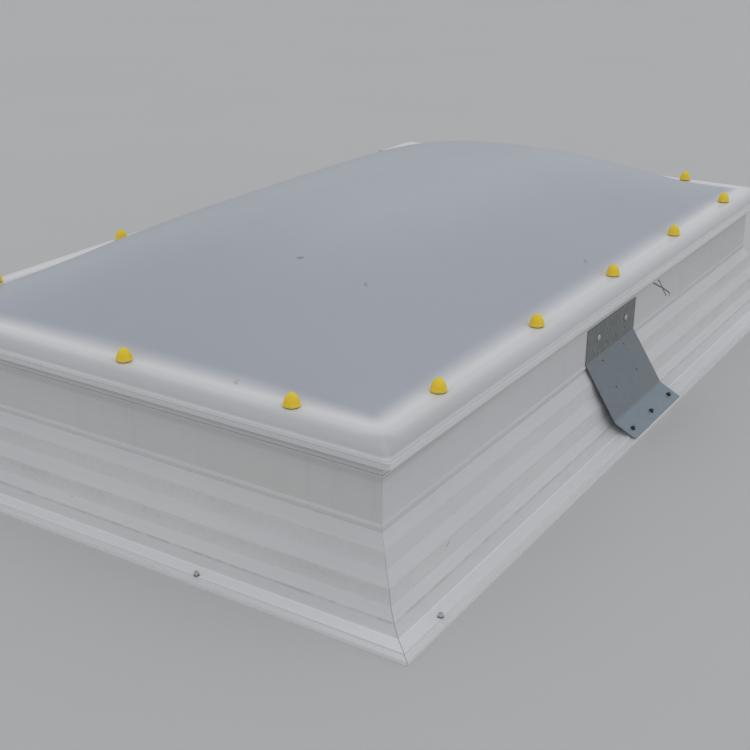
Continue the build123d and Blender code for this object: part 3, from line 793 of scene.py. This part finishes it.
def turned_cap(pattern):
    """A grid wrapped round the axis: one side runs round, the other up the outline."""
    steps = len(cap_outline) - 1
    sides = pattern.size("Cap sides")
    sockets = {"Size X": 1.0, "Size Y": 1.0, "Vertices X": sides, "Vertices Y": steps + 1}
    grid = pattern.node("GeometryNodeMeshGrid", None, sockets, "Mesh")
    place = pattern.node("GeometryNodeInputPosition")
    turn = (pattern.part(place, "X") + 0.5) * (2 * pi)
    climb = (pattern.part(place, "Y") + 0.5) * steps
    wide, high = 0.0, 0.0
    for step, (width, level) in enumerate(cap_outline):
        here = (1 - abs(climb - step)).most(0.0)
        wide = here * width + wide
        high = here * level + high
    radius = wide * pattern.size("Cap radius")
    wrapped = pattern.vector(
        X=radius * turn.worked("COSINE"),
        Y=radius * turn.worked("SINE"),
        Z=high * pattern.size("Cap height"),
    )
    sockets = {"Geometry": grid, "Position": wrapped}
    shell = pattern.node("GeometryNodeSetPosition", None, sockets)
    sockets = {"Geometry": shell, "Distance": seam_merge}
    closed = pattern.node("GeometryNodeMergeByDistance", None, sockets)
    return pattern.node("GeometryNodeSetShadeSmooth", None, {0: closed})


def screw_row(pattern, count, capped, pitch, across, along_x):
    """The screws of a side that have a cap: the first ones of a row centred on the axes."""
    start = (pattern.size(count) - 1) * pattern.size(pitch) * -0.5
    level = pattern.size("Cap level")
    if along_x:
        first = pattern.vector(X=start, Y=across, Z=level)
        step = pattern.vector(X=pattern.size(pitch))
    else:
        first = pattern.vector(X=across, Y=start, Z=level)
        step = pattern.vector(Y=pattern.size(pitch))
    sockets = {"Count": pattern.size(capped), "Start Location": first, "Offset": step}
    return pattern.node("GeometryNodeMeshLine", None, sockets)


caps_pattern = Pattern(
    "caps_on_screws",
    {
        "Cap radius": cap_radius,
        "Cap height": cap_height,
        "Cap level": cap_level,
        "Cap sides": cap_sides,
        "Long count": long_count,
        "Far count": far_row_capped,
        "Long pitch": 2 * (half_length - long_first_screw) / (long_count - 1),
        "Long row": half_width - screw_in,
        "Short count": short_count,
        "Short pitch": 2 * (half_width - short_first_screw) / (short_count - 1),
        "Short row": half_length - screw_in,
    },
)
rows = caps_pattern.tree.nodes.new("GeometryNodeJoinGeometry")
for side, capped in ((-1, "Long count"), (1, "Far count")):
    long_across = caps_pattern.size("Long row") * side
    short_across = caps_pattern.size("Short row") * side
    for row in (
        screw_row(caps_pattern, "Long count", capped, "Long pitch", long_across, True),
        screw_row(caps_pattern, "Short count", "Short count", "Short pitch", short_across, False),
    ):
        caps_pattern.tree.links.new(row.socket, rows.inputs[0])
set_caps = caps_pattern.node(
    "GeometryNodeInstanceOnPoints",
    None,
    {"Points": Reading(caps_pattern, rows.outputs[0]), "Instance": turned_cap(caps_pattern)},
)
caps = caps_pattern.made("yellow_caps", set_caps, yellow)
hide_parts("screw_caps")
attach(caps, "root")


# Floor, light and camera

floor_reach = 60.0
sky_whitest_at = 0.9
low_band_at = 0.28
sky_power = 0.64
front_gain = 0.075
low_band_gain = 0.13
camera_lens = 59.152
sensor_width = 36.0


def pale_floor():
    finish = Finish("pale_floor", Roughness=0.85)
    cloud = finish.noise(0.8, 4.0, 0.6)
    finish.give("Base Color", finish.mixed(cloud, *floor_colours))
    return finish.material


floor_signs = ((-1, -1), (1, -1), (1, 1), (-1, 1))
floor_corners = [(x * floor_reach, y * floor_reach, 0.0) for x, y in floor_signs]
floor_mesh = bpy.data.meshes.new("floor")
floor_mesh.from_pydata(floor_corners, [], [(0, 1, 2, 3)])
floor_mesh.materials.append(pale_floor())
floor = bpy.data.objects.new("floor", floor_mesh)
bpy.context.collection.objects.link(floor)

# The sky is a little brighter in a band above the horizon and on the front's side.
world = bpy.data.worlds.new("soft_sky")
bpy.context.scene.world = world
world.use_nodes = True
sky = Bench(world.node_tree)
sky.tree.nodes.clear()
direction = sky.node("ShaderNodeTexCoord", output="Generated")
height = sky.part(direction, "Z")
overhead = sky.node(
    "ShaderNodeMapRange", None, {"Value": height, "From Min": 0.0, "From Max": sky_whitest_at}
)
tint = sky.mixed(overhead, *sky_colours)
low_band = sky.fade(abs(height - low_band_at), 0.0, low_band_at, 1.0, 0.0)
strength = sky_power - sky.part(direction, "Y") * front_gain + low_band * low_band_gain
glow = sky.node("ShaderNodeBackground", None, {"Color": tint, "Strength": strength})
sky_end = sky.tree.nodes.new("ShaderNodeOutputWorld")
sky.tree.links.new(glow.socket, sky_end.inputs["Surface"])


def soft_box(name, spot, aim, size, power):
    light = bpy.data.lights.new(name, "AREA")
    light.shape = "SQUARE"
    light.size = size
    light.energy = power
    lamp = bpy.data.objects.new(name, light)
    lamp.location = spot
    lamp.rotation_euler = (Vector(aim) - Vector(spot)).to_track_quat("-Z", "Y").to_euler()
    bpy.context.collection.objects.link(lamp)


soft_box("soft_box_over", (0.5, -3.5, 6.0), (0.0, 0.0, 0.3), 6.0, 8.0)

camera_spot = Vector((-2.7799, -1.6661, 1.2766))
heading, dip, lean = radians(32.137), radians(22.376), radians(-0.427)
forward = Vector((cos(dip) * cos(heading), cos(dip) * sin(heading), -sin(dip)))
level_right = Vector((sin(heading), -cos(heading), 0.0))
level_down = forward.cross(level_right)
right = cos(lean) * level_right + sin(lean) * level_down
down = cos(lean) * level_down - sin(lean) * level_right
turned = Matrix((right, -down, -forward)).transposed().to_4x4()
camera_data = bpy.data.cameras.new("camera")
camera_data.lens = camera_lens
camera_data.sensor_width = sensor_width
camera = bpy.data.objects.new("camera", camera_data)
bpy.context.collection.objects.link(camera)
camera.matrix_world = Matrix.Translation(camera_spot) @ turned
bpy.context.scene.camera = camera
bpy.context.scene.view_settings.view_transform = "Standard"
